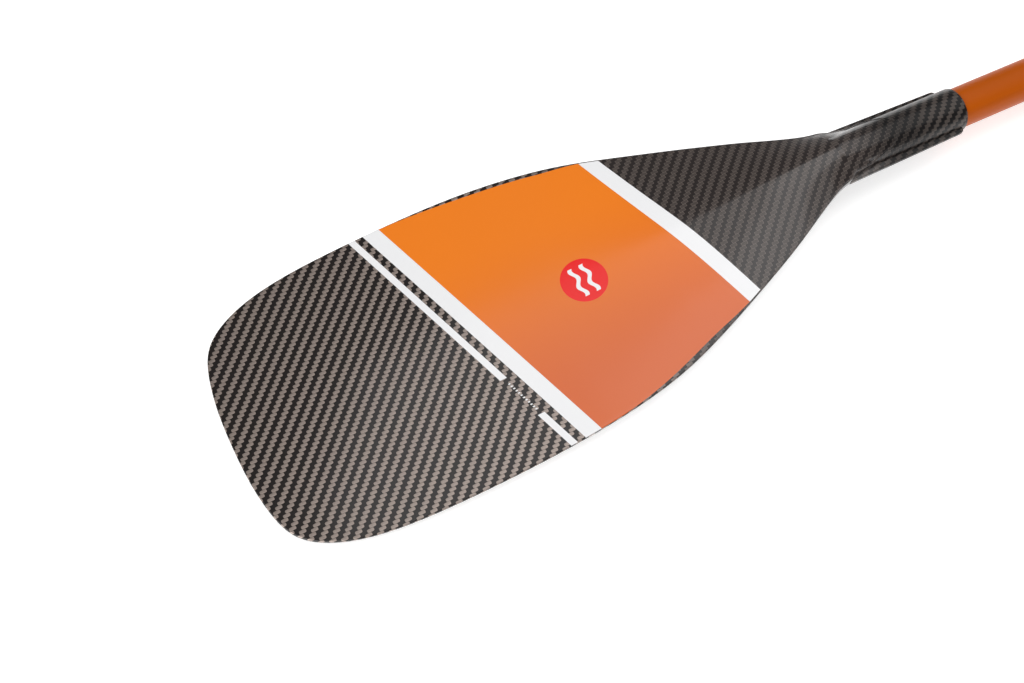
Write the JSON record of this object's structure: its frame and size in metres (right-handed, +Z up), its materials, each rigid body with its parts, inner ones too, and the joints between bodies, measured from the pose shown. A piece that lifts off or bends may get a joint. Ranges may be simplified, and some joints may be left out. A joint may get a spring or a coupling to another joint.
{
  "type": "single blade paddle",
  "caption": "Adjustable single blade paddle: angled carbon blade with a moulded socket, orange shaft, sprung push-button joint, lever clamp and T-grip.",
  "frame": {"origin": "centre of the bounding box in X and Y, at the height of the flat surface that the paddle lies on (its lowest point)", "axes": "+X towards the grip and within one degree of the shaft, +Z up out of the printed face, +Y across the blade"},
  "size_m": [1.7004, 0.2, 0.0554],
  "materials": {
    "carbon_printed": "clear-coated twill weave carbon laminate with printed panel and bands",
    "carbon_plain": "clear-coated twill weave carbon laminate",
    "foam": "closed-cell foam",
    "shaft_orange": "satin lacquer over a wound composite tube",
    "carbon_tube": "satin carbon tube",
    "nylon_black": "moulded glass-filled nylon",
    "lever_black": "moulded nylon, fine texture",
    "acetal": "smooth acetal",
    "steel": "stainless steel",
    "grip_plastic": "moulded plastic, satin",
    "grip_rubber": "soft-touch rubber with fine ribs"
  },
  "bodies": {
    "blade_and_shaft": {"blade_front_skin": "carbon_printed", "blade_back_skin": "carbon_plain", "blade_core": "foam", "lower_shaft": "shaft_orange", "lower_shaft_plug": "foam", "joint_ferrule": "nylon_black", "joint_ring": "nylon_black", "button_spring": "steel", "middle_shaft": "shaft_orange", "clamp_collar": "nylon_black", "clamp_liner": "acetal", "cam_pin": "steel", "cam_shoe": "steel", "clamp_screw": "steel", "clamp_washer": "steel"},
    "grip_section": {"upper_shaft": "carbon_tube", "guide_plug": "acetal", "grip_body": "grip_plastic", "grip_pad": "grip_rubber", "grip_screw": "steel"},
    "clamp_lever": {"clamp_lever": "lever_black"},
    "push_button": {"push_button": "steel"}
  },
  "joints": [
    {"name": "length_slide", "type": "slide", "parent": "blade_and_shaft", "child": "grip_section", "axis": [0.9998, 0, -0.0174], "range_m": [0, 0.4]},
    {"name": "clamp_lever", "type": "hinge", "parent": "blade_and_shaft", "child": "clamp_lever", "pos_m": [0.68651, 0.0225, 0.03751], "axis": [-0.9998, 0, 0.0174], "range_deg": [0, 150]},
    {"name": "push_button", "type": "slide", "parent": "blade_and_shaft", "child": "push_button", "axis": [-0.0174, 0, -0.9998], "range_m": [0, 0.004], "stiffness_N_per_m": 1500, "springref_m": -0.002, "deforming": ["button_spring"]}
  ]
}
